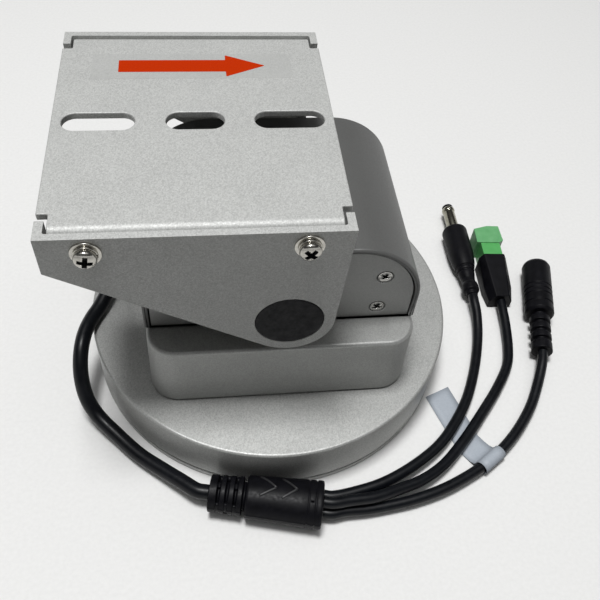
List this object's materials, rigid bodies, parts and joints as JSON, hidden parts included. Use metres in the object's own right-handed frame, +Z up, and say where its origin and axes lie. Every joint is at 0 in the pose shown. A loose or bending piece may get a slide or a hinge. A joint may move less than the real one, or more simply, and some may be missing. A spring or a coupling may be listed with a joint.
{
  "type": "remote pan tilt head",
  "caption": "Motorised pan and tilt head: a round base, a turning block and a slotted tilting platform, with a short harness of power and control leads.",
  "frame": {"origin": "centre of the round base's underside", "axes": "+Z up along the pan axis; tilt shaft along Y; platform slots along X, its long overhang towards -X"},
  "size_m": [0.1772, 0.1377, 0.0948],
  "materials": {
    "satin_aluminium": "fine bead-blasted satin anodised silver",
    "nickel_steel": "bright nickel plate",
    "machined_steel": "machined steel",
    "bronze": "sintered bronze",
    "black_rubber": "matt black rubber",
    "nylon": "natural nylon",
    "cord_jacket": "semi-gloss black cord jacket",
    "moulded_black": "black moulded soft plastic with a slight sheen",
    "green_plastic": "green moulded connector plastic",
    "circuit_board": "green lacquered circuit board",
    "label_paper": "pale blue-grey label paper"
  },
  "bodies": {
    "base": {"base_cover": "satin_aluminium", "base_plate": "satin_aluminium", "slide_ring": "nylon", "pan_post": "machined_steel", "pan_gear": "machined_steel", "bearing_inner_race": "machined_steel", "lock_nut": "machined_steel"},
    "pan_body": {"turntable": "satin_aluminium", "turning_block": "satin_aluminium", "upper_housing": "satin_aluminium", "near_end_cap": "satin_aluminium", "far_end_cap": "satin_aluminium", "near_cap_screw_1": "nickel_steel", "near_cap_screw_2": "nickel_steel", "near_cap_screw_3": "nickel_steel", "near_cap_screw_4": "nickel_steel", "far_cap_screw_1": "nickel_steel", "far_cap_screw_2": "nickel_steel", "far_cap_screw_3": "nickel_steel", "far_cap_screw_4": "nickel_steel", "near_shaft_bush": "bronze", "far_shaft_bush": "bronze", "bearing_outer_race": "machined_steel", "pan_gear_motor": "machined_steel", "tilt_gear_motor": "machined_steel", "control_board": "circuit_board", "cable_gland": "black_rubber", "main_cable": "cord_jacket", "tail_to_plug": "cord_jacket", "tail_to_terminal": "cord_jacket", "tail_to_socket": "cord_jacket", "splitter": "moulded_black", "plug_grip": "moulded_black", "terminal_hood": "moulded_black", "socket_grip": "moulded_black", "plug_barrel": "nickel_steel", "terminal_block": "green_plastic", "cord_label": "label_paper"},
    "tilt_bracket": {"tilt_shaft": "machined_steel", "tilt_gear": "machined_steel", "far_shaft_hub": "satin_aluminium", "near_side_plate": "satin_aluminium", "far_side_plate": "satin_aluminium", "platform": "satin_aluminium", "near_shaft_plug": "black_rubber", "far_shaft_plug": "black_rubber", "near_left_screw": "nickel_steel", "near_left_spring_washer": "nickel_steel", "near_left_flat_washer": "nickel_steel", "near_right_screw": "nickel_steel", "near_right_spring_washer": "nickel_steel", "near_right_flat_washer": "nickel_steel", "far_left_screw": "nickel_steel", "far_left_spring_washer": "nickel_steel", "far_left_flat_washer": "nickel_steel", "far_right_screw": "nickel_steel", "far_right_spring_washer": "nickel_steel", "far_right_flat_washer": "nickel_steel"},
    "pan_pinion_body": {"pan_pinion": "machined_steel"},
    "tilt_pinion_body": {"tilt_pinion": "machined_steel"}
  },
  "joints": [
    {"name": "pan", "type": "hinge", "parent": "base", "child": "pan_body", "pos_m": [0, 0, 0.0156], "axis": [0, 0, 1], "range_deg": [-177.5, 177.5]},
    {"name": "pan_pinion_spin", "type": "hinge", "parent": "pan_body", "child": "pan_pinion_body", "pos_m": [0.02443, 0.00889, 0.0075], "axis": [0, 0, 1], "range_deg": [-600, 600]},
    {"name": "tilt", "type": "hinge", "parent": "pan_body", "child": "tilt_bracket", "pos_m": [0, 0, 0.061], "axis": [0, 1, 0], "range_deg": [-45, 45]},
    {"name": "tilt_pinion_spin", "type": "hinge", "parent": "pan_body", "child": "tilt_pinion_body", "pos_m": [0, -0.0135, 0.0338], "axis": [0, 1, 0], "range_deg": [-180, 180]}
  ],
  "couplings": [
    {"joint": "pan_pinion_spin", "follows": "pan", "ratio": 3.3333},
    {"joint": "tilt_pinion_spin", "follows": "tilt", "ratio": -3.8571}
  ]
}
